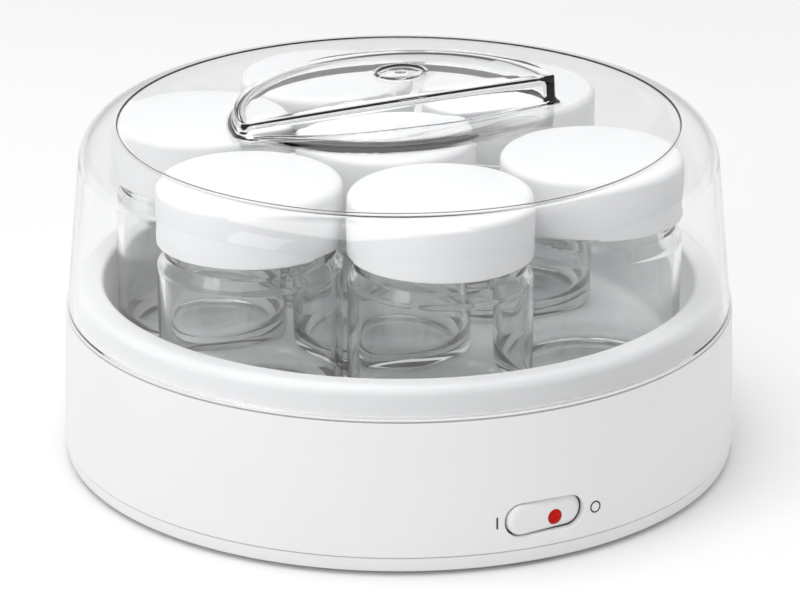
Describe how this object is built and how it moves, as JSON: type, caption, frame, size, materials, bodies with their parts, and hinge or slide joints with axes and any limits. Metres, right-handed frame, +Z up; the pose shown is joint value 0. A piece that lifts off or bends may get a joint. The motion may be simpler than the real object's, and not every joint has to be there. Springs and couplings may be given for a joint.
{
  "type": "yogurt maker",
  "caption": "Round electric yogurt maker: heated white base with a well of lidded glass jars under a clear domed cover with a moulded grip, and a rocker switch with indicator lens.",
  "frame": {"origin": "on the table under the middle of the round base, at the underside of the feet", "axes": "+Z up through the middle of the base and cover, front (switch side) towards -Y, +X to the right seen from the front"},
  "size_m": [0.24, 0.2397, 0.1315],
  "materials": {
    "white_plastic": "satin white moulded plastic",
    "lid_plastic": "satin white moulded plastic",
    "clear_plastic": "clear polished plastic",
    "jar_glass": "clear pressed glass",
    "foot_rubber": "matt",
    "screw_steel": "zinc-plated",
    "aluminium": "rolled sheet",
    "silicone": "satin silicone sleeve",
    "ceramic": "matt",
    "black_plastic": "matt",
    "red_lens": "clear red, polished",
    "brass": "plain",
    "lead_brown": "satin insulation",
    "lead_blue": "satin insulation"
  },
  "bodies": {
    "base": {"housing": "white_plastic", "base_plate": "white_plastic", "base_screw_1": "screw_steel", "base_screw_2": "screw_steel", "base_screw_3": "screw_steel", "base_screw_4": "screw_steel", "foot_1": "foot_rubber", "foot_2": "foot_rubber", "foot_3": "foot_rubber", "foot_4": "foot_rubber", "heat_plate": "aluminium", "heating_element": "silicone", "thermal_fuse": "ceramic", "fuse_clip": "screw_steel", "cord_gland": "black_plastic", "terminal_block": "ceramic", "switch_body": "black_plastic", "switch_terminal_1": "brass", "switch_terminal_2": "brass", "switch_terminal_3": "brass", "lead_block_to_switch": "lead_brown", "lead_switch_to_element": "lead_blue", "lead_element_to_fuse": "lead_blue", "lead_fuse_to_block": "lead_blue"},
    "cover": {"cover": "clear_plastic"},
    "rocker": {"switch_rocker": "white_plastic", "indicator_lens": "red_lens"},
    "jar_1": {"jar_1": "jar_glass"},
    "lid_1": {"lid_1": "lid_plastic"},
    "jar_2": {"jar_2": "jar_glass"},
    "lid_2": {"lid_2": "lid_plastic"},
    "jar_3": {"jar_3": "jar_glass"},
    "lid_3": {"lid_3": "lid_plastic"},
    "jar_4": {"jar_4": "jar_glass"},
    "lid_4": {"lid_4": "lid_plastic"},
    "jar_5": {"jar_5": "jar_glass"},
    "lid_5": {"lid_5": "lid_plastic"},
    "jar_6": {"jar_6": "jar_glass"},
    "lid_6": {"lid_6": "lid_plastic"},
    "jar_7": {"jar_7": "jar_glass"},
    "lid_7": {"lid_7": "lid_plastic"}
  },
  "joints": [
    {"name": "cover_lift", "type": "slide", "parent": "base", "child": "cover", "axis": [0, 0, 1], "range_m": [0, 0.15]},
    {"name": "rocker_tilt", "type": "hinge", "parent": "base", "child": "rocker", "pos_m": [0.04714, -0.10489, 0.0175], "axis": [0, 0, -1], "range_deg": [0, 14]},
    {"name": "jar_1_lift", "type": "slide", "parent": "base", "child": "jar_1", "axis": [0, 0, 1], "range_m": [0, 0.0008]},
    {"name": "lid_1_turn", "type": "hinge", "parent": "jar_1", "child": "lid_1", "pos_m": [-0.07, 0.017, 0.1055], "axis": [0, 0, 1], "range_deg": [0, 120]},
    {"name": "jar_2_lift", "type": "slide", "parent": "base", "child": "jar_2", "axis": [0, 0, 1], "range_m": [0, 0.0008]},
    {"name": "lid_2_turn", "type": "hinge", "parent": "jar_2", "child": "lid_2", "pos_m": [-0.0505, -0.051, 0.1055], "axis": [0, 0, 1], "range_deg": [0, 120]},
    {"name": "jar_3_lift", "type": "slide", "parent": "base", "child": "jar_3", "axis": [0, 0, 1], "range_m": [0, 0.0008]},
    {"name": "lid_3_turn", "type": "hinge", "parent": "jar_3", "child": "lid_3", "pos_m": [0.014, -0.064, 0.1055], "axis": [0, 0, 1], "range_deg": [0, 120]},
    {"name": "jar_4_lift", "type": "slide", "parent": "base", "child": "jar_4", "axis": [0, 0, 1], "range_m": [0, 0.0008]},
    {"name": "lid_4_turn", "type": "hinge", "parent": "jar_4", "child": "lid_4", "pos_m": [0.0665, -0.0235, 0.1055], "axis": [0, 0, 1], "range_deg": [0, 120]},
    {"name": "jar_5_lift", "type": "slide", "parent": "base", "child": "jar_5", "axis": [0, 0, 1], "range_m": [0, 0.0008]},
    {"name": "lid_5_turn", "type": "hinge", "parent": "jar_5", "child": "lid_5", "pos_m": [-0.0045, -0.0005, 0.1055], "axis": [0, 0, 1], "range_deg": [0, 120]},
    {"name": "jar_6_lift", "type": "slide", "parent": "base", "child": "jar_6", "axis": [0, 0, 1], "range_m": [0, 0.0008]},
    {"name": "lid_6_turn", "type": "hinge", "parent": "jar_6", "child": "lid_6", "pos_m": [-0.0265, 0.067, 0.1055], "axis": [0, 0, 1], "range_deg": [0, 120]},
    {"name": "jar_7_lift", "type": "slide", "parent": "base", "child": "jar_7", "axis": [0, 0, 1], "range_m": [0, 0.0008]},
    {"name": "lid_7_turn", "type": "hinge", "parent": "jar_7", "child": "lid_7", "pos_m": [0.0395, 0.052, 0.1055], "axis": [0, 0, 1], "range_deg": [0, 120]}
  ]
}
